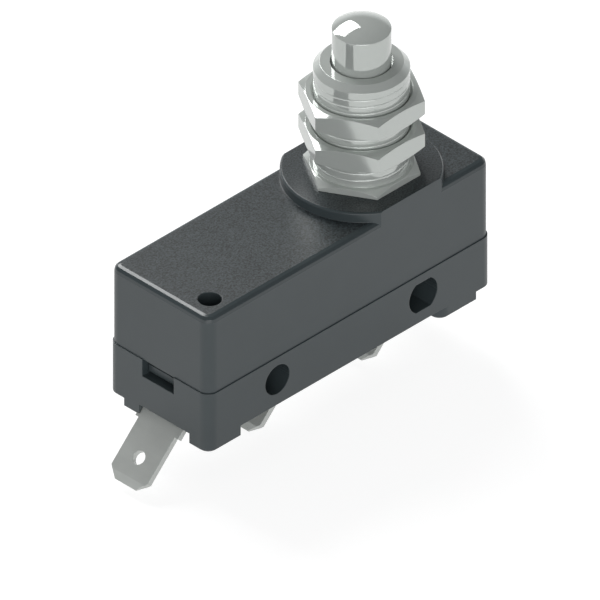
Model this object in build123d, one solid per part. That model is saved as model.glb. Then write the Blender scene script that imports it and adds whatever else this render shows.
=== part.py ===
from build123d import *

import math
import os

os.makedirs("parts", exist_ok=True)

# Plunger micro switch: a snap-action switch in a two-part moulded case, worked from above
# through a threaded panel bushing. All sizes are in millimetres. The origin is the centre of
# the round mounting hole at mid-width, +X runs along the case towards the plunger, +Z is up.

# Case
case_length = 49.5
case_width = 17.5
case_corner_r = 1.5
base_height = 7.36
cover_height = 11.4
side_wall = 2.0
end_wall = 2.0
floor_thickness = 1.6
roof_thickness = 2.4
cover_inset = 0.12
cover_edge_r = 0.85
edge_steps = 3
base_edge = 0.3
cavity_corner_r = 0.8
lip_depth = 0.9
lip_thickness = 0.8
case_gap = 0.1

# Mounting holes
hole_spacing = 25.4
hole_below_seam = 3.3
hole_dia = 4.2
slot_hole_length = 4.9
hole_boss_wall = 1.2

# Feet, as lengths along the long sides and depths in from them
foot_height = 1.43
short_foot_length = 5.66
short_foot_depth = 3.3
long_foot_length = 9.25
long_foot_depth = 5.5
foot_corner_cut = 2.85

# Snap latches at both ends
latch_width = 5.5
latch_window_height = 2.5
latch_recess = 1.0
latch_bar_height = 1.0
latch_tongue_thickness = 0.9
latch_tongue_rise = 1.5
latch_toe_edge = 1.0

# Round boss and marking hole on the cover
plunger_before_slot = 1.99
disc_r = 10.1
disc_height = 1.4
disc_rim = 0.2
top_hole_dia = 3.0
top_hole_depth = 3.2
top_hole_from_end = 3.6
top_hole_from_side = 3.3
top_hole_wall = 0.7

# Bushing
barrel_dia = 12.0
barrel_height = 15.9
barrel_chamfer = 0.8
collar_flats = 13.0
collar_height = 0.95
collar_top_r = 6.45
collar_chamfer_angle = 25.0
spigot_dia = 11.2
spigot_length = 5.2
spring_bore_dia = 9.0
stop_shoulder = 8.5
mouth_gap = 0.22
mouth_depth = 0.8
running_gap = 0.05

# Guide disc that closes the bushing below, and the clip that holds the bushing in the cover
guide_thickness = 1.2
press_gap = 0.02
clip_thickness = 0.8
clip_reach = 0.7
clip_side_gap = 0.1
clip_groove_depth = 0.45
clip_opening = 3.0

# Nuts
nut_flats = 14.0
nut_thickness = 2.75
nut_face_r = 6.95
nut_chamfer_angle = 20.0
lower_nut_mid = 5.42
upper_nut_mid = 10.3

# Plunger and its stop ring
plunger_dia = 7.4
plunger_stands_out = 4.95
plunger_dome = 1.1
dome_steps = 3
stop_ring_thickness = 0.8
stop_ring_gap = 0.2
stop_ring_seat_depth = 0.58
plunger_tail_gap = 0.1
plunger_tail_length = 4.25
pocket_dia = 4.2
pocket_top = 9.4
plunger_travel = 5.5

# Springs
return_wire = 0.7
return_side_gap = 0.3
return_turns = 5
over_wire = 0.5
over_side_gap = 0.4
over_turns = 6
turn_steps = 12
wire_sides = 4
spring_seat_gap = 0.05

# Push pin
pin_dia = 3.0
pin_head_dia = 4.8
pin_head_height = 1.0
pin_head_lift = 0.6
pin_travel = 0.4
pin_nose = 0.5
pin_tip_flat = 1.2

# Terminals
strip_thickness = 0.8
strip_bend_r = 0.8
tab_width = 6.3
tab_length = 8.05
tab_shoulder_width = 7.4
tab_corner = 1.4
tab_bevel = 0.25
tab_bevel_length = 1.05
tab_hole_dia = 1.8
tab_hole_from_tip = 3.73
inner_strip_width = 5.0
tab_reach = 10.36
middle_tab_reach = 11.61
upright_past_floor = 1.35
closed_upright_in = 2.62
open_upright_past_boss = 9.77
common_upright_in = 3.6
terminal_slot_gap = 0.05

# Contacts and moving arm
arm_height = 3.0
arm_thickness = 0.3
arm_width = 6.0
arm_window_width = 3.0
arm_bridge = 3.5
arm_end_bar = 1.5
arm_head = 4.0
contact_past_boss = 1.65
contact_r = 1.6
contact_button = 0.7
contact_shank_r = 0.7
contact_gap = 0.02
strip_past_contact = 1.8

# Bracket, its rivet and the bow spring
bracket_thickness = 0.6
bracket_width = 4.0
bracket_post_width = 2.4
bracket_post_rise = 1.2
bracket_post_in = 2.7
bracket_neck = 0.6
notch_depth = 0.35
notch_play = 0.21
anchor_before_bridge = 2.51
anchor_below_arm = 0.7
anchor_rise = 0.45
shelf_past_boss = 0.1
shelf_length = 4.0
rivet_before_post = 3.2
rivet_shank_r = 0.8
rivet_head_r = 1.3
rivet_head_height = 0.4
bend_share = 0.95
bow_thickness = 0.2
bow_width = 2.4
bow_rise = 1.3
bow_end_gap = 0.15
head_past_contact = 1.8

# Planes and places worked out from the sizes above
left_end = -(case_length - hole_spacing) / 2
right_end = left_end + case_length
mid_x = left_end + case_length / 2
half_width = case_width / 2
cavity_width = case_width - 2 * side_wall
boss_r = hole_dia / 2 + hole_boss_wall
seam = hole_below_seam
underside = seam - base_height
feet_bottom = underside - foot_height
floor_top = underside + floor_thickness
cover_top = seam + cover_height
ceiling = cover_top - roof_thickness
disc_top = cover_top + disc_height
plunger_x = hole_spacing - plunger_before_slot
barrel_top = disc_top + barrel_height
spigot_bottom = disc_top - spigot_length
spring_floor = spigot_bottom + guide_thickness
shoulder = disc_top + stop_shoulder
plunger_r = plunger_dia / 2
spring_bore_r = spring_bore_dia / 2
clip_outer_r = spigot_dia / 2 + clip_reach
stop_ring_r = spring_bore_r - stop_ring_gap
ring_top = shoulder - press_gap
ring_bottom = ring_top - stop_ring_thickness
return_coil_r = spring_bore_r - return_side_gap - return_wire / 2
over_coil_r = pocket_dia / 2 - over_side_gap - over_wire / 2
pin_head_top = spring_floor + pin_head_lift + pin_head_height

arm_z = seam + arm_height
arm_top = arm_z + arm_thickness / 2
arm_bottom = arm_z - arm_thickness / 2
post_right = right_end - end_wall - bracket_post_in
pivot_x = post_right - notch_depth + notch_play
arm_slope = pin_travel / (pivot_x - plunger_x)
contact_x = boss_r + contact_past_boss
arm_drop = (pivot_x - contact_x) * arm_slope
bow_window_x = contact_x + arm_head
anchor_left = plunger_x - arm_bridge / 2 - anchor_before_bridge
anchor_z = arm_z - anchor_below_arm
rivet_x = post_right - rivet_before_post

closed_strip_z = arm_top + 2 * contact_button + contact_gap + strip_thickness / 2
open_face_z = arm_bottom - contact_button - arm_drop - contact_r * arm_slope - contact_gap
open_strip_z = open_face_z - contact_button - strip_thickness / 2
shelf_top = boss_r + shelf_past_boss + rivet_head_height + strip_thickness
bracket_floor_top = shelf_top + bracket_thickness
closed_upright_x = left_end + end_wall + closed_upright_in
open_upright_x = boss_r + open_upright_past_boss
common_upright_x = right_end - end_wall - common_upright_in


def block(x_low, x_high, y_low, y_high, z_low, z_high):
    size = Box(x_high - x_low, y_high - y_low, z_high - z_low)
    return Pos((x_low + x_high) / 2, (y_low + y_high) / 2, (z_low + z_high) / 2) * size


def disc(radius, z_low, z_high, x=plunger_x, y=0.0):
    return Pos(x, y, (z_low + z_high) / 2) * Cylinder(radius, z_high - z_low)


def bar_across(radius, width, x, z):
    return Pos(x, 0, z) * Rot(90, 0, 0) * Cylinder(radius, width)


def rounded_block(length, width, corner_r, z_low, z_high):
    outline = RectangleRounded(length, width, corner_r)
    return Pos(mid_x, 0, z_low) * extrude(outline, z_high - z_low)


# Block with its upper edges rounded over in short flat steps
def soft_topped_block(length, width, corner_r, z_low, z_high, edge_r):
    outlines = []
    for step in range(edge_steps + 1):
        angle = math.pi / 2 * step / edge_steps
        inset = edge_r * (1 - math.cos(angle))
        outline = RectangleRounded(length - 2 * inset, width - 2 * inset, corner_r - inset)
        outlines.append(Pos(mid_x, 0, z_high - edge_r * (1 - math.sin(angle))) * outline)
    lower = rounded_block(length, width, corner_r, z_low, z_high - edge_r)
    return lower + loft(outlines, ruled=True)


def turned(profile_points):
    outline = make_face(Polyline(*[(r, 0, z) for r, z in profile_points], close=True))
    return Pos(plunger_x, 0, 0) * revolve(outline, Axis.Z, 360)


def half_turn(shape):
    return Pos(mid_x, 0, 0) * Rot(0, 0, 180) * Pos(-mid_x, 0, 0) * shape


def save(shape, name):
    export_step(shape, f"parts/{name}.step")


# Hexagon with coned faces, corners on the X axis and two flats parallel to the long sides
def hexagon(flats, z_low, z_high, top_r, bottom_r, angle):
    corner_r = flats / math.sqrt(3)
    slope = math.tan(math.radians(angle))
    outside = corner_r + 0.5
    top_drop = (outside - top_r) * slope
    bottom_rise = (outside - bottom_r) * slope if bottom_r else 0.0
    prism = Pos(plunger_x, 0, z_low) * extrude(RegularPolygon(corner_r, 6), z_high - z_low)
    cone = [(0, z_low), (bottom_r or outside, z_low)]
    if bottom_r:
        cone.append((outside, z_low + bottom_rise))
    cone += [(outside, z_high - top_drop), (top_r, z_high), (0, z_high)]
    return prism & turned(cone)


# Base: the lower moulding, with pockets between the bosses of the two mounting holes
def make_base():
    slot_x = hole_spacing
    base = rounded_block(case_length, case_width, case_corner_r, underside, seam)
    base = chamfer(base.faces().sort_by(Axis.Z)[0].edges(), base_edge)

    pocket_length = case_length - 2 * end_wall
    pockets = rounded_block(pocket_length, cavity_width, cavity_corner_r, floor_top, seam)
    for boss_x in (0.0, slot_x):
        pockets -= bar_across(boss_r, case_width, boss_x, 0)
        pockets -= block(boss_x - boss_r, boss_x + boss_r, -half_width, half_width, underside, 0)
    base -= pockets

    foot_zone = rounded_block(case_length, case_width, case_corner_r,
                              feet_bottom, underside + base_edge)
    short_foot = block(left_end, left_end + short_foot_length, -half_width,
                       -half_width + short_foot_depth, feet_bottom, underside + base_edge)
    long_foot = block(left_end, left_end + long_foot_length, half_width - long_foot_depth,
                      half_width, feet_bottom, underside + base_edge)
    outer_corner = long_foot.edges().filter_by(Axis.Z).sort_by(Axis.X)[-2:].sort_by(Axis.Y)[-1]
    long_foot = fillet(outer_corner, case_corner_r)
    long_foot -= block(left_end, left_end + foot_corner_cut, half_width - foot_corner_cut,
                       half_width, feet_bottom, underside)
    for foot in (short_foot, long_foot):
        foot &= foot_zone
        foot = chamfer(foot.faces().sort_by(Axis.Z)[0].edges(), base_edge)
        base += foot
        base += half_turn(foot)

    base -= bar_across(hole_dia / 2, case_width, 0, 0)
    flats = block(slot_x - slot_hole_length, slot_x + slot_hole_length,
                  -half_width, half_width, -hole_dia / 2, hole_dia / 2)
    base -= bar_across(slot_hole_length / 2, case_width, slot_x, 0) & flats

    window = block(left_end, left_end + latch_recess, -latch_width / 2, latch_width / 2,
                   seam - latch_window_height, seam)
    window += block(left_end, left_end + end_wall, -latch_width / 2, latch_width / 2,
                    seam - latch_window_height, seam - latch_bar_height)
    base -= window
    base -= half_turn(window)

    for upright_x in (closed_upright_x, open_upright_x, common_upright_x):
        base -= terminal_slot(upright_x)
    return base


# Slanted slot for a terminal strip, through the floor and past the feet
def terminal_slot(upright_x):
    middle_x = upright_x - upright_past_floor - floor_thickness / 2
    cut = Box(2 * math.sqrt(2) * (floor_thickness + foot_height),
              tab_shoulder_width + 2 * terminal_slot_gap, strip_thickness + 2 * terminal_slot_gap)
    return Pos(middle_x, 0, underside + floor_thickness / 2) * Rot(0, -45, 0) * cut


# Cover: the upper moulding, with the round boss, latch tongues and an inner locating lip
def make_cover():
    length = case_length - 2 * cover_inset
    width = case_width - 2 * cover_inset
    cover = soft_topped_block(length, width, case_corner_r, seam, cover_top, cover_edge_r)

    boss = disc(disc_r, ceiling, disc_top)
    boss = chamfer(boss.edges().sort_by(Axis.Z)[-1], disc_rim)
    boss &= block(left_end, right_end, -width / 2, width / 2, ceiling, disc_top)
    cover += boss

    inner_length = case_length - 2 * end_wall
    hollow = rounded_block(inner_length, cavity_width, cavity_corner_r, seam, ceiling)
    post_r = top_hole_dia / 2 + top_hole_wall
    hole_x = left_end + top_hole_from_end
    hole_y = -half_width + top_hole_from_side
    hole_bottom = cover_top - top_hole_depth
    hollow += disc(clip_outer_r + clip_side_gap, ceiling - clip_thickness, ceiling)
    hollow -= disc(post_r, hole_bottom - top_hole_wall, ceiling, hole_x, hole_y)
    cover -= hollow
    cover -= disc(top_hole_dia / 2, hole_bottom, cover_top, hole_x, hole_y)
    cover -= disc(spigot_dia / 2 + running_gap, ceiling, disc_top)

    lip_length = inner_length - 2 * case_gap
    lip_width = cavity_width - 2 * case_gap
    lip_top = seam + lip_depth
    lip = rounded_block(lip_length, lip_width, cavity_corner_r - case_gap, seam - lip_depth, lip_top)
    lip -= rounded_block(lip_length - 2 * lip_thickness, lip_width - 2 * lip_thickness,
                         cavity_corner_r / 2, seam - lip_depth, lip_top)
    boss_zone = boss_r + case_gap
    for boss_x in (0.0, hole_spacing):
        lip -= block(boss_x - boss_zone, boss_x + boss_zone,
                     -half_width, half_width, seam - lip_depth, seam)
    band = rounded_block(inner_length + end_wall, cavity_width + side_wall, case_corner_r,
                         seam, lip_top)
    band -= rounded_block(lip_length - 2 * lip_thickness, lip_width - 2 * lip_thickness,
                          cavity_corner_r / 2, seam, lip_top)
    cover += lip + band

    cover += latch_tongue()
    cover += half_turn(latch_tongue())
    return cover


# Latch tongue: hangs from the cover inside the base's end wall, its toe under the latch bar
def latch_tongue():
    half = latch_width / 2 - case_gap
    back = left_end + end_wall + case_gap
    low = seam - latch_window_height + case_gap
    toe_top = seam - latch_bar_height - case_gap
    tongue = block(back, back + latch_tongue_thickness, -half, half, low, seam + latch_tongue_rise)
    toe_reach = end_wall + case_gap - latch_recess
    toe = Polyline((back, 0, low), (back, 0, toe_top), (back - toe_reach, 0, toe_top),
                   (back - toe_reach, 0, toe_top - latch_toe_edge), close=True)
    tongue += extrude(make_face(toe), half, both=True)
    root = block(back - 2 * case_gap, back + latch_tongue_thickness, -half, half,
                 seam, seam + latch_tongue_rise)
    return tongue + root


# Bushing: threaded barrel on a hexagon collar, with a spigot that goes down through the cover.
# It is open below, so that the plunger goes in from there.
def make_bushing():
    collar = hexagon(collar_flats, disc_top, disc_top + collar_height,
                     collar_top_r, None, collar_chamfer_angle)
    barrel_r = barrel_dia / 2
    spigot_r = spigot_dia / 2
    body = turned([(0, spigot_bottom), (spigot_r, spigot_bottom), (spigot_r, disc_top),
                   (barrel_r, disc_top), (barrel_r, barrel_top - barrel_chamfer),
                   (barrel_r - barrel_chamfer, barrel_top), (0, barrel_top)])
    groove = disc(spigot_r, ceiling - clip_thickness, ceiling)
    groove -= disc(spigot_r - clip_groove_depth, ceiling - clip_thickness, ceiling)
    bore = disc(spring_bore_r, spigot_bottom, shoulder)
    bore += disc(plunger_r + running_gap, shoulder, barrel_top)
    bore += disc(plunger_r + mouth_gap, barrel_top - mouth_depth, barrel_top)
    return collar + body - groove - bore


def ring(outer_r, inner_r, z_low, z_high):
    return disc(outer_r, z_low, z_high) - disc(inner_r, z_low, z_high)


# Guide disc: pressed into the bushing's lower end, it guides the pin and carries the spring
def make_pin_guide():
    return ring(spring_bore_r - press_gap, pin_dia / 2 + running_gap, spigot_bottom, spring_floor)


def make_bushing_clip():
    inner_r = spigot_dia / 2 - clip_groove_depth + press_gap
    clip = ring(clip_outer_r, inner_r, ceiling - clip_thickness, ceiling)
    opening = block(plunger_x, plunger_x + spigot_dia, -clip_opening / 2, clip_opening / 2,
                    ceiling - clip_thickness, ceiling)
    return clip - opening


def make_nut(middle):
    z_low = disc_top + middle - nut_thickness / 2
    z_high = z_low + nut_thickness
    nut = hexagon(nut_flats, z_low, z_high, nut_face_r, nut_face_r, nut_chamfer_angle)
    return nut - disc(barrel_dia / 2 + running_gap, z_low, z_high)


# Plunger: solid stem with a domed end, a groove for the stop ring and a spring pocket below
def make_plunger():
    rim = barrel_top + plunger_stands_out
    groove_low = ring_bottom - press_gap
    groove_r = plunger_r - stop_ring_seat_depth
    coil_inside = return_coil_r * math.cos(math.pi / turn_steps) - return_wire / 2
    tail_r = coil_inside - plunger_tail_gap
    tail_low = groove_low - plunger_tail_length
    pocket_high = disc_top + pocket_top
    profile = [(0, pocket_high), (pocket_dia / 2, pocket_high), (pocket_dia / 2, tail_low),
               (tail_r, tail_low), (tail_r, groove_low), (groove_r, groove_low),
               (groove_r, shoulder), (plunger_r, shoulder)]
    dome_r = (plunger_r**2 + plunger_dome**2) / (2 * plunger_dome)
    centre_z = rim + plunger_dome - dome_r
    for step in range(dome_steps):
        angle = math.asin(plunger_r / dome_r) * (1 - step / dome_steps)
        profile.append((dome_r * math.sin(angle), centre_z + dome_r * math.cos(angle)))
    return turned(profile + [(0, rim + plunger_dome)])


def make_stop_ring():
    inner_r = plunger_r - stop_ring_seat_depth + press_gap
    opening = block(plunger_x - spring_bore_dia, plunger_x, -inner_r / 2, inner_r / 2,
                    ring_bottom, ring_top)
    return ring(stop_ring_r, inner_r, ring_bottom, ring_top) - opening


# Coil spring, its wire bent in short straight steps, with the ends inside the stated height
def make_spring(wire, coil_r, turns, z_low, z_high):
    steps = turns * turn_steps
    rise = (z_high - z_low - 2 * wire) / steps
    points = []
    for step in range(steps + 1):
        angle = 2 * math.pi * step / turn_steps
        points.append((coil_r * math.cos(angle), coil_r * math.sin(angle),
                       z_low + wire + rise * step))
    path = Polyline(*points)
    section = Plane(origin=path @ 0, z_dir=path % 0) * RegularPolygon(wire / 2, wire_sides)
    return Pos(plunger_x, 0, 0) * sweep(section, path, transition=Transition.RIGHT)


def make_push_pin():
    tip = arm_top + contact_gap
    head_low = spring_floor + pin_head_lift
    pin_r = pin_dia / 2
    head_r = pin_head_dia / 2
    return turned([(0, tip), (pin_tip_flat / 2, tip), (pin_r, tip + pin_nose), (pin_r, head_low),
                   (head_r, head_low), (head_r, pin_head_top), (0, pin_head_top)])


# A terminal is one folded strip. It starts as a slanted blade tab below the case, goes up
# through the floor, and ends level, at the height and place that its contact needs.
def make_terminal(upright_x, reach, top_z, end_x):
    exit_x = upright_x - upright_past_floor - floor_thickness
    run = reach / math.sqrt(2)
    tip = (exit_x - run, 0, underside - run)
    floor_way = floor_thickness * math.sqrt(2)
    start = (exit_x + floor_thickness / 2, 0, underside + floor_thickness / 2)
    corner = (upright_x, 0, floor_top + upright_past_floor)
    path = FilletPolyline(start, corner, (upright_x, 0, top_z), (end_x, 0, top_z),
                          radius=strip_bend_r)
    section_plane = Plane(origin=path @ 0, x_dir=(0, 1, 0), z_dir=path % 0)
    strip = sweep(section_plane * Rectangle(inner_strip_width, strip_thickness), path)

    tab_plane = Plane(origin=tip, x_dir=(0, 1, 0), z_dir=(-1, 0, 1))
    shoulder_length = reach + floor_way / 2 - tab_length
    top_aligned = (Align.CENTER, Align.MAX)
    wide = Pos(0, -tab_length) * Rectangle(tab_shoulder_width, shoulder_length, align=top_aligned)
    tab = Rectangle(tab_width, tab_length, align=top_aligned)
    tab = chamfer(tab.vertices().group_by(Axis.Y)[-1], tab_corner)
    plate = extrude(tab_plane * (wide + tab), strip_thickness / 2, both=True)
    tip_face = plate.faces().sort_by(Axis.Z)[0]
    tip_edges = tip_face.edges().filter_by(Axis.Y)
    plate = chamfer(tip_edges, tab_bevel, tab_bevel_length, reference=tip_face)
    hole = tab_plane * Pos(0, -tab_hole_from_tip) * Circle(tab_hole_dia / 2)
    return strip + plate - extrude(hole, strip_thickness, both=True)


def make_fixed_contact(z_low):
    return disc(contact_r, z_low, z_low + contact_button, contact_x)


def make_moving_contact():
    button = disc(contact_r, arm_bottom - contact_button, arm_bottom, contact_x)
    button += disc(contact_r, arm_top, arm_top + contact_button, contact_x)
    return button + disc(contact_shank_r, arm_bottom, arm_top, contact_x)


# Moving arm: a flat stamping with two windows. It hooks round the bracket's post at its right
# end, the push pin bears on the bridge, and the bow spring presses on the left window's edge.
def make_arm():
    half = arm_width / 2
    window_half = arm_window_width / 2
    bridge_left = plunger_x - arm_bridge / 2
    bridge_right = plunger_x + arm_bridge / 2
    arm = block(contact_x - head_past_contact, pivot_x + arm_end_bar, -half, half,
                arm_bottom, arm_top)
    arm = chamfer(arm.edges().filter_by(Axis.Z), arm_end_bar / 2)
    arm -= block(bow_window_x, bridge_left, -window_half, window_half, arm_bottom, arm_top)
    arm -= block(bridge_right, pivot_x, -window_half, window_half, arm_bottom, arm_top)
    return arm - disc(contact_shank_r, arm_bottom, arm_top, contact_x)


# Bracket: a U-shaped stamping on the common terminal's shelf. Its post carries the arm in a
# notch, and its short upturned end holds the bow spring.
def make_bracket():
    post_left = post_right - bracket_thickness
    half = bracket_width / 2
    neck_half = bracket_post_width / 2
    neck_z = bracket_floor_top + bracket_neck
    bracket = block(anchor_left, post_right, -half, half, shelf_top, bracket_floor_top)
    bracket = fillet(bracket.edges().filter_by(Axis.Y).group_by(Axis.Z)[0],
                     bracket_thickness * bend_share)
    bracket += block(post_left, post_right, -half, half, bracket_floor_top, neck_z)
    bracket += block(post_left, post_right, -neck_half, neck_half,
                     neck_z, arm_z + bracket_post_rise)
    bracket += block(anchor_left, anchor_left + bracket_thickness, -neck_half, neck_half,
                     bracket_floor_top, anchor_z + anchor_rise)
    bracket -= notch(post_right, arm_z, -1)
    bracket -= notch(anchor_left, anchor_z, 1)
    return bracket - disc(rivet_shank_r, shelf_top, bracket_floor_top, rivet_x)


# Square-angled notch across a face, going in along X
def notch(face_x, z, inward):
    outline = Polyline((face_x, 0, z - notch_depth), (face_x, 0, z + notch_depth),
                       (face_x + inward * notch_depth, 0, z), close=True)
    return extrude(make_face(outline), case_width / 2, both=True)


def make_rivet():
    tail_high = shelf_top - strip_thickness
    tail_low = tail_high - rivet_head_height
    head_high = bracket_floor_top + rivet_head_height
    rivet = disc(rivet_shank_r - press_gap, tail_low, head_high, rivet_x)
    rivet += disc(rivet_head_r, bracket_floor_top, head_high, rivet_x)
    return rivet + disc(rivet_head_r, tail_low, tail_high, rivet_x)


# Bow spring: an arched leaf from the anchor's notch to the arm's window edge
def make_bow_spring():
    start = (bow_window_x + bow_end_gap, arm_z)
    end = (anchor_left + notch_depth / 2, anchor_z)
    span = math.dist(start, end)
    slope = math.atan2(end[1] - start[1], end[0] - start[0])
    radius = (span**2 / 4 + bow_rise**2) / (2 * bow_rise)
    sweep_half = math.asin(span / 2 / radius)
    centre_x = (start[0] + end[0]) / 2 + (radius - bow_rise) * math.sin(slope)
    centre_z = (start[1] + end[1]) / 2 - (radius - bow_rise) * math.cos(slope)
    rings = []
    for ring_r in (radius - bow_thickness / 2, radius + bow_thickness / 2):
        ends = []
        for angle in (-sweep_half, 0.0, sweep_half):
            turn = angle - slope
            ends.append((centre_x + ring_r * math.sin(turn), 0, centre_z + ring_r * math.cos(turn)))
        rings.append(ends)
    inner, outer = rings
    edges = [ThreePointArc(*inner), Line(inner[2], outer[2]),
             ThreePointArc(*outer), Line(outer[0], inner[0])]
    return extrude(make_face(edges), bow_width / 2, both=True)


strip_end_x = contact_x + strip_past_contact
closed_terminal = make_terminal(closed_upright_x, tab_reach, closed_strip_z, strip_end_x)
open_terminal = make_terminal(open_upright_x, middle_tab_reach, open_strip_z,
                              contact_x - strip_past_contact)
common_terminal = make_terminal(common_upright_x, tab_reach, shelf_top - strip_thickness / 2,
                                common_upright_x - shelf_length)
common_terminal -= disc(rivet_shank_r, shelf_top - strip_thickness, shelf_top, rivet_x)
return_spring = make_spring(return_wire, return_coil_r, return_turns,
                            spring_floor + spring_seat_gap, ring_bottom - spring_seat_gap)
overtravel_spring = make_spring(over_wire, over_coil_r, over_turns,
                                pin_head_top + spring_seat_gap,
                                disc_top + pocket_top - spring_seat_gap)

save(make_base(), "base")
save(make_cover(), "cover")
save(make_bushing(), "bushing")
save(make_pin_guide(), "pin_guide")
save(make_bushing_clip(), "bushing_clip")
save(make_nut(lower_nut_mid), "lower_nut")
save(make_nut(upper_nut_mid), "upper_nut")
save(make_plunger(), "plunger")
save(make_stop_ring(), "plunger_stop_ring")
save(return_spring, "return_spring")
save(overtravel_spring, "overtravel_spring")
save(make_push_pin(), "push_pin")
save(closed_terminal, "closed_terminal")
save(open_terminal, "open_terminal")
save(common_terminal, "common_terminal")
save(make_fixed_contact(arm_top + contact_button + contact_gap), "closed_contact")
save(make_fixed_contact(open_face_z - contact_button), "open_contact")
save(make_moving_contact(), "moving_contact")
save(make_arm(), "moving_arm")
save(make_bracket(), "arm_bracket")
save(make_rivet(), "bracket_rivet")
save(make_bow_spring(), "bow_spring")

print("plunger x", round(plunger_x, 3), "travel", plunger_travel, "pin travel", pin_travel)
print("arm pivot", round(pivot_x, 3), round(arm_z, 3), "slope", round(arm_slope, 6))
print("bow pivot", round(anchor_left + notch_depth / 2, 3), round(anchor_z, 3))
print("bow window edge", round(bow_window_x, 3), "spring floor", round(spring_floor, 3))
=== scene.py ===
import math

import bpy
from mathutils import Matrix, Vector


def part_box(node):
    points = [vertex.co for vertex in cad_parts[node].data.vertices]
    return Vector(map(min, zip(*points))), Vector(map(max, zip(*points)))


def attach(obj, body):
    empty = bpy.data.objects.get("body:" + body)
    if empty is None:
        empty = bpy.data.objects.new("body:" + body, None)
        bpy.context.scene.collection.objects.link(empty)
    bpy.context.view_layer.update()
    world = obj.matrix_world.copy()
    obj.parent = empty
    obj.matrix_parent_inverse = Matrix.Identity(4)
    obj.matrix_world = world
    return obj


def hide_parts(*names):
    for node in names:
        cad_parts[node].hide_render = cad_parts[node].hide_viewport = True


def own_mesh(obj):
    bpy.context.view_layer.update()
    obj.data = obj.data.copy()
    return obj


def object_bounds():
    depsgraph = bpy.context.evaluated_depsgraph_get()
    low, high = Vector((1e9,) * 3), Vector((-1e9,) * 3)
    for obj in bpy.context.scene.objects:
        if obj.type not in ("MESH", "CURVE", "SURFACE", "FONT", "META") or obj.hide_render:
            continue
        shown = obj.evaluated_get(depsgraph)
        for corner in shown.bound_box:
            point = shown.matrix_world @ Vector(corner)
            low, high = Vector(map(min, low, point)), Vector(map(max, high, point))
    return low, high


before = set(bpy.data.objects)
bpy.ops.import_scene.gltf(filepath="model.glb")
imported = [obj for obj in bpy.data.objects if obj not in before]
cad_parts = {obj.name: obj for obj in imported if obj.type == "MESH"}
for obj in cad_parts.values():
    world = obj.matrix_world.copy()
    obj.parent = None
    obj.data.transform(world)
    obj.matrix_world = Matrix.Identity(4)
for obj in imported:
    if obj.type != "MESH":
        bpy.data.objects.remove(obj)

cad_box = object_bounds()
MM = 0.001


# Case: two glass-filled nylon mouldings, the base below and the cover above, snapped together.
# They are dark grey. The walls are smooth, and the cover's level faces have a finely eroded
# grain. Their colour is also painted darker, a painted shade for the light they take from above.
# The mould leaves a small radius on every edge, which the shading gives.
nylon_dark = (0.039, 0.0505, 0.0545)
nylon_light = (0.051, 0.0655, 0.0705)
nylon_edge_r = 0.15 * MM
grain_depth = 0.01 * MM
grain_per_metre = 4600
# Painted shade: how much darker the level top faces are painted; it is also the middle of the
# grain's flecks
grain_and_painted_top_shade = 0.66
grain_from_z = 14.0 * MM
grain_fade = 0.2 * MM
wall_extra_rough = 0.16
grain_extra_rough = 0.12


def new_finish(name):
    finish = bpy.data.materials.new(name)
    finish.use_nodes = True
    tree = finish.node_tree
    tree.nodes.clear()
    shader = tree.nodes.new("ShaderNodeBsdfPrincipled")
    out = tree.nodes.new("ShaderNodeOutputMaterial")
    tree.links.new(shader.outputs["BSDF"], out.inputs["Surface"])
    place = tree.nodes.new("ShaderNodeTexCoord").outputs["Object"]
    return finish, tree, shader, place


def noise(tree, place, per_metre, detail=2.0, stretch=(1, 1, 1)):
    mapping = tree.nodes.new("ShaderNodeMapping")
    mapping.inputs["Scale"].default_value = stretch
    tree.links.new(place, mapping.inputs["Vector"])
    texture = tree.nodes.new("ShaderNodeTexNoise")
    texture.inputs["Scale"].default_value = per_metre
    texture.inputs["Detail"].default_value = detail
    tree.links.new(mapping.outputs["Vector"], texture.inputs["Vector"])
    return texture.outputs["Fac"]


# A value between start and end becomes one between low and high, and stays there outside them
def spread(tree, value, low, high, start=0.3, end=0.7):
    ranged = tree.nodes.new("ShaderNodeMapRange")
    ranged.inputs["From Min"].default_value = start
    ranged.inputs["From Max"].default_value = end
    ranged.inputs["To Min"].default_value = low
    ranged.inputs["To Max"].default_value = high
    tree.links.new(value, ranged.inputs["Value"])
    return ranged.outputs["Result"]


def tint(tree, share, dark, light):
    mix = tree.nodes.new("ShaderNodeMix")
    mix.data_type = "RGBA"
    mix.inputs["A"].default_value = (*dark, 1)
    mix.inputs["B"].default_value = (*light, 1)
    tree.links.new(share, mix.inputs["Factor"])
    return mix.outputs["Result"]


def calculate(tree, how, first, second):
    step = tree.nodes.new("ShaderNodeMath")
    step.operation = how
    for socket, value in zip(step.inputs, (first, second)):
        if isinstance(value, (int, float)):
            socket.default_value = value
        else:
            tree.links.new(value, socket)
    return step.outputs["Value"]


def height_part(tree, vector):
    parts = tree.nodes.new("ShaderNodeSeparateXYZ")
    tree.links.new(vector, parts.inputs["Vector"])
    return parts.outputs["Z"]


def bumped(tree, shader, height, depth, edge_r=0.0):
    bump = tree.nodes.new("ShaderNodeBump")
    bump.inputs["Distance"].default_value = depth
    tree.links.new(height, bump.inputs["Height"])
    if edge_r:
        rounding = tree.nodes.new("ShaderNodeBevel")
        rounding.samples = 8
        rounding.inputs["Radius"].default_value = edge_r
        tree.links.new(rounding.outputs["Normal"], bump.inputs["Normal"])
    tree.links.new(bump.outputs["Normal"], shader.inputs["Normal"])


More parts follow.
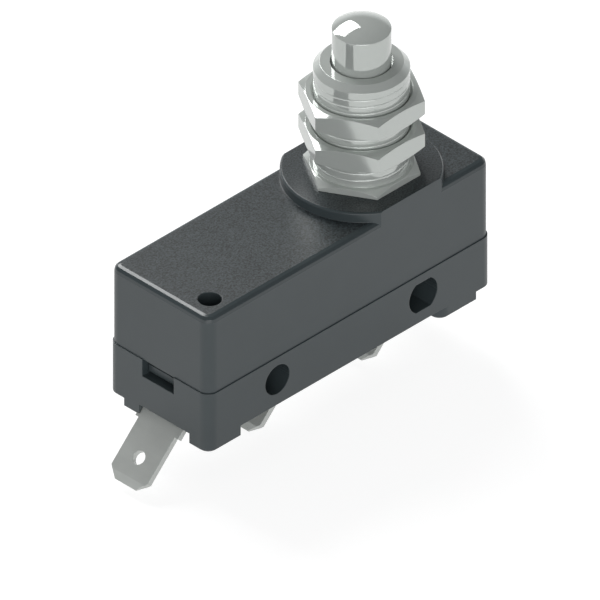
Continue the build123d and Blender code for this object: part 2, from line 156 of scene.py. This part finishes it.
def moulded_nylon(name):
    finish, tree, shader, place = new_finish(name)
    facing_up = height_part(tree, tree.nodes.new("ShaderNodeNewGeometry").outputs["Normal"])
    level = spread(tree, facing_up, 0.0, 1.0, start=0.975, end=0.995)
    high = spread(tree, height_part(tree, place), 0.0, 1.0,
                  start=grain_from_z, end=grain_from_z + grain_fade)
    eroded_top_with_painted_shade = calculate(tree, "MULTIPLY", level, high)
    upright = spread(tree, calculate(tree, "ABSOLUTE", facing_up, 0.0), 1.0, 0.0,
                     start=0.02, end=0.2)
    grain = noise(tree, place, grain_per_metre)
    cloud = noise(tree, place, per_metre=160, detail=3.0)

    # Painted shade: the level top faces' colour is scaled to about two thirds, darker for the light
    # they catch, with the grain's flecks spread around that level
    painted_shade_and_grain = tree.nodes.new("ShaderNodeMix")
    painted_shade_and_grain.inputs["A"].default_value = 1.0
    tree.links.new(eroded_top_with_painted_shade, painted_shade_and_grain.inputs["Factor"])
    tree.links.new(spread(tree, grain, 0.0, 2 * grain_and_painted_top_shade), painted_shade_and_grain.inputs["B"])
    colour = tree.nodes.new("ShaderNodeVectorMath")
    colour.operation = "SCALE"
    tree.links.new(tint(tree, cloud, nylon_dark, nylon_light), colour.inputs["Vector"])
    tree.links.new(painted_shade_and_grain.outputs["Result"], colour.inputs["Scale"])
    tree.links.new(colour.outputs["Vector"], shader.inputs["Base Color"])

    rough = spread(tree, cloud, 0.21, 0.225)
    for share, extra in ((upright, wall_extra_rough), (eroded_top_with_painted_shade, grain_extra_rough)):
        rough = calculate(tree, "ADD", rough, calculate(tree, "MULTIPLY", share, extra))
    tree.links.new(rough, shader.inputs["Roughness"])
    shader.inputs["Specular IOR Level"].default_value = 0.5
    relief = calculate(tree, "MULTIPLY", grain, calculate(tree, "ADD", eroded_top_with_painted_shade, 0.1))
    bumped(tree, shader, relief, grain_depth, nylon_edge_r)
    return finish


def dress(node, finish):
    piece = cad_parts[node]
    piece.data.materials.clear()
    piece.data.materials.append(finish)


grey_nylon = moulded_nylon("grey_nylon")
dress("base", grey_nylon)
dress("cover", grey_nylon)


# Terminals: strips of tin-plated brass, 0.8 mm thick, stamped and folded before the plating.
# Each one is pushed up through its slot in the base's floor and ends in a blade tab. Faint
# lines from the rolling run across the strip.
metal_edge_r = 0.06 * MM


def metal(name, dark, light, shine, rough, brushed=(1, 1, 1), scratch=0.0012 * MM):
    finish, tree, shader, place = new_finish(name)
    cloud = noise(tree, place, per_metre=220, detail=3.0)
    lines = noise(tree, place, per_metre=2600, stretch=brushed)
    share = calculate(tree, "ADD", spread(tree, cloud, 0.2, 0.6),
                      spread(tree, lines, 0.0, 0.25, start=0.1, end=0.9))
    tree.links.new(tint(tree, share, dark, light), shader.inputs["Base Color"])
    shader.inputs["Metallic"].default_value = shine
    worn = calculate(tree, "ADD", spread(tree, cloud, rough * 0.8, rough * 1.2),
                     spread(tree, lines, 0.0, rough * 0.35, start=0.1, end=0.9))
    tree.links.new(worn, shader.inputs["Roughness"])
    bumped(tree, shader, lines, scratch, metal_edge_r)
    return finish


tinned = metal("tinned_strip", dark=(0.52, 0.54, 0.52), light=(0.61, 0.63, 0.605),
               shine=0.4, rough=0.28, brushed=(1, 0.12, 1), scratch=0.0004 * MM)
for name in ("closed_terminal", "open_terminal", "common_terminal"):
    dress(name, tinned)


# Contacts: buttons of bright silver. Two are riveted to the strips of the closed and the open
# terminal, and the third goes through the end of the moving arm, with a face on each side.
silver = metal("contact_silver", dark=(0.62, 0.62, 0.6), light=(0.78, 0.78, 0.76),
               shine=0.9, rough=0.25)
for name in ("closed_contact", "open_contact", "moving_contact"):
    dress(name, silver)


# Snap mechanism: the arm is rolled spring bronze, hooked into the notch of the brass bracket.
# The bow spring is a blue-grey steel leaf, which stands between the bracket and the arm. The
# bracket is riveted to the common strip.
bronze = metal("rolled_bronze", dark=(0.50, 0.33, 0.19), light=(0.66, 0.44, 0.26),
               shine=0.85, rough=0.28, brushed=(0.1, 1, 1))
brass = metal("stamped_brass", dark=(0.56, 0.42, 0.20), light=(0.70, 0.54, 0.28),
              shine=0.85, rough=0.3)
spring_steel = metal("spring_steel", dark=(0.28, 0.29, 0.30), light=(0.42, 0.43, 0.44),
                     shine=0.85, rough=0.3, brushed=(0.1, 1, 1))
dress("moving_arm", bronze)
dress("arm_bracket", brass)
dress("bracket_rivet", brass)
dress("bow_spring", spring_steel)


# Push pin: a moulded pin of ivory acetal, which slides in the guide disc and bears on the arm.
# The guide disc is brass and is pressed into the bushing's lower end. An open ring of spring
# steel, in the groove of the bushing's spigot, holds the bushing under the cover's roof.
ivory, tree, shader, place = new_finish("ivory_acetal")
ivory_tint = tint(tree, noise(tree, place, per_metre=300), (0.58, 0.54, 0.44), (0.66, 0.62, 0.52))
tree.links.new(ivory_tint, shader.inputs["Base Color"])
shader.inputs["Roughness"].default_value = 0.4
bumped(tree, shader, noise(tree, place, per_metre=5000), 0.004 * MM)
dress("push_pin", ivory)
dress("pin_guide", brass)
dress("bushing_clip", spring_steel)


# Bushing: brass, turned from hexagon bar and nickel-plated. The barrel carries a fine M12 x 1
# thread, which shows as shallow lines, and a thin hexagon collar rests on the cover's boss. The
# plunger slides in the bore above the shoulder, and the wider bore below holds the springs.
bushing_low, bushing_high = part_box("bushing")
clip_low, clip_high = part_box("bushing_clip")
stop_ring_low, stop_ring_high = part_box("plunger_stop_ring")
axis_x = (bushing_low.x + bushing_high.x) / 2 / MM
spigot_bottom = bushing_low.z / MM
disc_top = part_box("cover")[1].z / MM
barrel_top = bushing_high.z / MM
press_gap = 0.02
shoulder = stop_ring_high.z / MM + press_gap

spigot_r = 5.6
spigot_chamfer = 0.1
clip_groove_r = 5.15
spring_bore_r = 4.5
plunger_bore_r = 3.75
mouth_r = 3.92
mouth_depth = 0.8
collar_flats = (bushing_high.y - bushing_low.y) / MM
collar_top = disc_top + 0.95
collar_top_r = 6.45
collar_slope = math.tan(math.radians(30))
barrel_root = 0.02
barrel_r = 6.0
barrel_chamfer = 0.8
barrel_foot = collar_top + 0.01
barrel_rows = 226

pitch = 1.0
thread_depth = 0.035
thread_low = collar_top + 0.4
thread_high = barrel_top - barrel_chamfer - 0.15
thread_run_out = 0.5
groove_half = 0.12
groove_flank = 0.09


def make_mesh(name, points, faces, finish, sharp_angle=15):
    mesh = bpy.data.meshes.new(name)
    mesh.from_pydata([(x * MM, y * MM, z * MM) for x, y, z in points], [], faces)
    mesh.polygons.foreach_set("use_smooth", [True] * len(mesh.polygons))
    mesh.set_sharp_from_angle(angle=math.radians(sharp_angle))
    mesh.update()
    piece = bpy.data.objects.new(name, mesh)
    bpy.context.scene.collection.objects.link(piece)
    mesh.materials.append(finish)
    return piece


# Rings of points round the plunger's axis, joined by faces. A ring is a radius and a height, or
# a function that gives both for an angle. A closed row of rings joins the last to the first.
def ring_mesh(name, rings, finish, steps=192, closed=True):
    points = []
    for ring in rings:
        for step in range(steps):
            angle = 2 * math.pi * step / steps
            radius, height = ring(angle) if callable(ring) else ring
            points.append((axis_x + radius * math.cos(angle), radius * math.sin(angle), height))
    faces = []
    count = len(rings)
    for row in range(count if closed else count - 1):
        upper = (row + 1) % count
        for step in range(steps):
            beside = (step + 1) % steps
            faces.append((row * steps + step, row * steps + beside,
                          upper * steps + beside, upper * steps + step))
    return make_mesh(name, points, faces, finish)


def hexagon_radius(angle, flats):
    turn = (angle % (math.pi / 3)) - math.pi / 6
    return flats / 2 / math.cos(turn)


# How deep the thread is at a share of its pitch, from 0 on the crest to 1 in the groove
def groove(share):
    distance = abs(share - 0.5)
    return max(0.0, min(1.0, (groove_half - distance) / groove_flank))


def barrel_ring(height):
    fade = min(1.0, (height - thread_low) / thread_run_out, (thread_high - height) / thread_run_out)
    depth = thread_depth * max(0.0, fade)

    def ring(angle):
        share = (height / pitch - angle / (2 * math.pi)) % 1.0
        return barrel_r - depth * groove(share), height
    return ring


def collar_foot(angle):
    return hexagon_radius(angle, collar_flats), disc_top


def collar_edge(angle):
    radius = hexagon_radius(angle, collar_flats)
    return radius, min(collar_top, collar_top - (radius - collar_top_r) * collar_slope)


nickel = metal("nickel_plate", dark=(0.56, 0.59, 0.565), light=(0.60, 0.63, 0.605),
               shine=0.33, rough=0.08, brushed=(1, 1, 6), scratch=0.0004 * MM)

bushing_rings = [(spring_bore_r, spigot_bottom), (spigot_r - spigot_chamfer, spigot_bottom),
                 (spigot_r, spigot_bottom + spigot_chamfer), (spigot_r, clip_low.z / MM),
                 (clip_groove_r, clip_low.z / MM), (clip_groove_r, clip_high.z / MM),
                 (spigot_r, clip_high.z / MM), (spigot_r, disc_top), collar_foot, collar_edge,
                 (collar_top_r, collar_top), (barrel_r + barrel_root, collar_top)]
threaded_height = barrel_top - barrel_chamfer - barrel_foot
for row in range(barrel_rows + 1):
    bushing_rings.append(barrel_ring(barrel_foot + threaded_height * row / barrel_rows))
bushing_rings += [(barrel_r - barrel_chamfer, barrel_top), (mouth_r, barrel_top),
                  (mouth_r, barrel_top - mouth_depth), (plunger_bore_r, barrel_top - mouth_depth),
                  (plunger_bore_r, shoulder), (spring_bore_r, shoulder)]
bushing = ring_mesh("bushing_turned", bushing_rings, nickel)
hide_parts("bushing")
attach(bushing, "case")


# Springs: round hard-drawn wire, wound cold. The return spring stands on the guide disc and
# pushes the plunger's ring up. The thinner overtravel spring stands in the plunger's pocket, on
# the head of the push pin. In the switch both get shorter as the plunger goes down; here each
# is built at one length and fixed to the case.
spring_seat_gap = 0.05
pocket_top = disc_top + 9.4
wire_sides = 12
turn_steps = 48


def coil(name, node, wire, coil_r, turns, seat_low, seat_high):
    z_low = seat_low + spring_seat_gap
    z_high = seat_high - spring_seat_gap
    count = turns * turn_steps
    rise = (z_high - z_low - wire) / count
    points = []
    for step in range(count + 1):
        angle = 2 * math.pi * step / turn_steps
        for side in range(wire_sides):
            turn = 2 * math.pi * side / wire_sides
            radius = coil_r + wire / 2 * math.cos(turn)
            height = z_low + wire / 2 + rise * step + wire / 2 * math.sin(turn)
            points.append((axis_x + radius * math.cos(angle), radius * math.sin(angle), height))
    faces = []
    for step in range(count):
        for side in range(wire_sides):
            beside = (side + 1) % wire_sides
            faces.append((step * wire_sides + side, step * wire_sides + beside,
                          (step + 1) * wire_sides + beside, (step + 1) * wire_sides + side))
    faces.append(tuple(range(wire_sides)))
    faces.append(tuple(reversed(range(count * wire_sides, (count + 1) * wire_sides))))
    spring = make_mesh(name, points, faces, spring_steel, sharp_angle=60)
    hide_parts(node)
    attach(spring, "case")
    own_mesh(spring)


coil("return_coil", "return_spring", wire=0.7, coil_r=3.85, turns=5,
     seat_low=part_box("pin_guide")[1].z / MM, seat_high=stop_ring_low.z / MM)
coil("overtravel_coil", "overtravel_spring", wire=0.5, coil_r=1.45, turns=6,
     seat_low=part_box("push_pin")[1].z / MM, seat_high=pocket_top)


# Plunger: stainless steel bar, turned and polished, with a shallow domed end and a pocket for
# the overtravel spring. It slides in the bushing's bore. A spring steel snap ring in its groove
# stops it against the bushing's shoulder.
plunger_low, plunger_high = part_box("plunger")
plunger_r = 3.7
pocket_r = 2.1
tail_r = 3.27
ring_groove_r = 3.12
ring_groove_low = stop_ring_low.z / MM - press_gap
dome = 1.1
dome_r = (plunger_r**2 + dome**2) / (2 * dome)
dome_rings = 24
tip = plunger_high.z / MM
rim = tip - dome
rim_break = 0.03
rim_break_height = 0.05
rim_band = 0.12
axis_hole_r = 0.001

steel = metal("polished_steel", dark=(0.54, 0.57, 0.545), light=(0.58, 0.61, 0.585),
              shine=0.35, rough=0.05, brushed=(1, 1, 6), scratch=0.0002 * MM)

plunger_rings = [(axis_hole_r, pocket_top), (pocket_r, pocket_top), (pocket_r, plunger_low.z / MM),
                 (tail_r, plunger_low.z / MM), (tail_r, ring_groove_low),
                 (ring_groove_r, ring_groove_low), (ring_groove_r, shoulder),
                 (plunger_r, shoulder), (plunger_r, rim - rim_band),
                 (plunger_r, rim - rim_break_height)]
for step in range(dome_rings):
    tilt = math.asin((plunger_r - rim_break) / dome_r) * (1 - step / dome_rings)
    plunger_rings.append((dome_r * math.sin(tilt), tip - dome_r + dome_r * math.cos(tilt)))
plunger_rings.append((axis_hole_r, tip))
plunger = ring_mesh("plunger_turned", plunger_rings, steel, closed=False)
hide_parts("plunger")
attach(plunger, "plunger")
dress("plunger_stop_ring", spring_steel)


# Nuts: two thin hexagon jam nuts on the barrel, 14 mm across flats, turned from bar and
# nickel-plated, with both faces chamfered to 20 degrees. They clamp the panel between them.
nut_face_r = 6.95
nut_bore_r = 6.05
nut_bore_chamfer = 0.3
nut_slope = math.tan(math.radians(20))


def nut(name, body):
    nut_low, nut_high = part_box(body)
    flats = (nut_high.y - nut_low.y) / MM
    low = nut_low.z / MM
    high = nut_high.z / MM

    def drop(angle):
        return max(0.0, (hexagon_radius(angle, flats) - nut_face_r) * nut_slope)
    rings = [(nut_bore_r, low + nut_bore_chamfer), (nut_bore_r + nut_bore_chamfer, low),
             (nut_face_r, low),
             lambda angle: (hexagon_radius(angle, flats), low + drop(angle)),
             lambda angle: (hexagon_radius(angle, flats), high - drop(angle)),
             (nut_face_r, high), (nut_bore_r + nut_bore_chamfer, high),
             (nut_bore_r, high - nut_bore_chamfer)]
    piece = ring_mesh(name, rings, nickel, steps=360)
    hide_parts(body)
    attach(piece, body)


nut("lower_nut_turned", "lower_nut")
nut("upper_nut_turned", "upper_nut")


# Stage: a plain pale floor just under the lowest tab. To the camera and in reflections it is
# nearly white, and to the object it is a plain grey, so that it adds little light from below.
floor_z = cad_box[0].z - 0.224 * MM
floor_half = 3000 * MM
floor_corners = [(x * floor_half, y * floor_half, floor_z)
                 for x, y in ((-1, -1), (1, -1), (1, 1), (-1, 1))]
floor_mesh = bpy.data.meshes.new("floor")
floor_mesh.from_pydata(floor_corners, [], [(0, 1, 2, 3)])
floor = bpy.data.objects.new("floor", floor_mesh)
bpy.context.scene.collection.objects.link(floor)
pale, tree, shader, place = new_finish("pale_floor")
shader.inputs["Base Color"].default_value = (0.35, 0.35, 0.35, 1)
shader.inputs["Roughness"].default_value = 1.0
shader.inputs["Specular IOR Level"].default_value = 0.0
path = tree.nodes.new("ShaderNodeLightPath")
seen = calculate(tree, "MAXIMUM", path.outputs["Is Camera Ray"], path.outputs["Is Glossy Ray"])
seen = calculate(tree, "MAXIMUM", seen, path.outputs["Is Transmission Ray"])
shader.inputs["Emission Color"].default_value = (1, 1, 1, 1)
tree.links.new(calculate(tree, "MULTIPLY", seen, 0.84), shader.inputs["Emission Strength"])
floor_mesh.materials.append(pale)


# Light: a soft sky, bright at the horizon and dim above, which the bright metal mirrors. One
# large lamp stands high behind the switch on the left, and one low in front of it.
world = bpy.data.worlds.new("soft_sky")
bpy.context.scene.world = world
world.use_nodes = True
tree = world.node_tree
direction = tree.nodes.new("ShaderNodeTexCoord").outputs["Generated"]
brightness = spread(tree, height_part(tree, direction), 1.0, 0.2, start=0.05, end=0.35)
tree.links.new(brightness, tree.nodes["Background"].inputs["Strength"])
tree.nodes["Background"].inputs["Color"].default_value = (0.97, 0.99, 1, 1)
lamp_aim = Vector((12.7, 0, 12)) * MM


def lamp(name, azimuth, elevation, distance, size, power):
    light = bpy.data.lights.new(name, "AREA")
    light.size = size
    light.energy = power
    piece = bpy.data.objects.new(name, light)
    bpy.context.scene.collection.objects.link(piece)
    turn = math.radians(azimuth)
    rise = math.radians(elevation)
    away = Vector((math.cos(turn) * math.cos(rise), math.sin(turn) * math.cos(rise), math.sin(rise)))
    piece.location = lamp_aim + away * distance
    piece.rotation_euler = away.to_track_quat("Z", "Y").to_euler()
    piece.visible_camera = False


lamp("back_left", azimuth=76, elevation=45, distance=0.6, size=0.34, power=2.8)
lamp("front", azimuth=230, elevation=12, distance=0.6, size=0.5, power=1.9)


# Camera: a parallel view along the cube's diagonal, from the left, the front and above, as in
# the photo. Its width and its middle set the switch at the photo's place and size.
view_width = 73.87 * MM
view_middle = Vector((10.94, -1.74, 3.016)) * MM
view_distance = 400 * MM
camera = bpy.data.cameras.new("camera")
camera.type = "ORTHO"
camera.ortho_scale = view_width
camera.clip_start = 0.01
camera.clip_end = 20
eye = bpy.data.objects.new("camera", camera)
bpy.context.scene.collection.objects.link(eye)
away = Vector((-1, -1, 1)).normalized()
eye.location = view_middle + away * view_distance
eye.rotation_euler = away.to_track_quat("Z", "Y").to_euler()
bpy.context.scene.camera = eye
bpy.context.scene.view_settings.view_transform = "Standard"
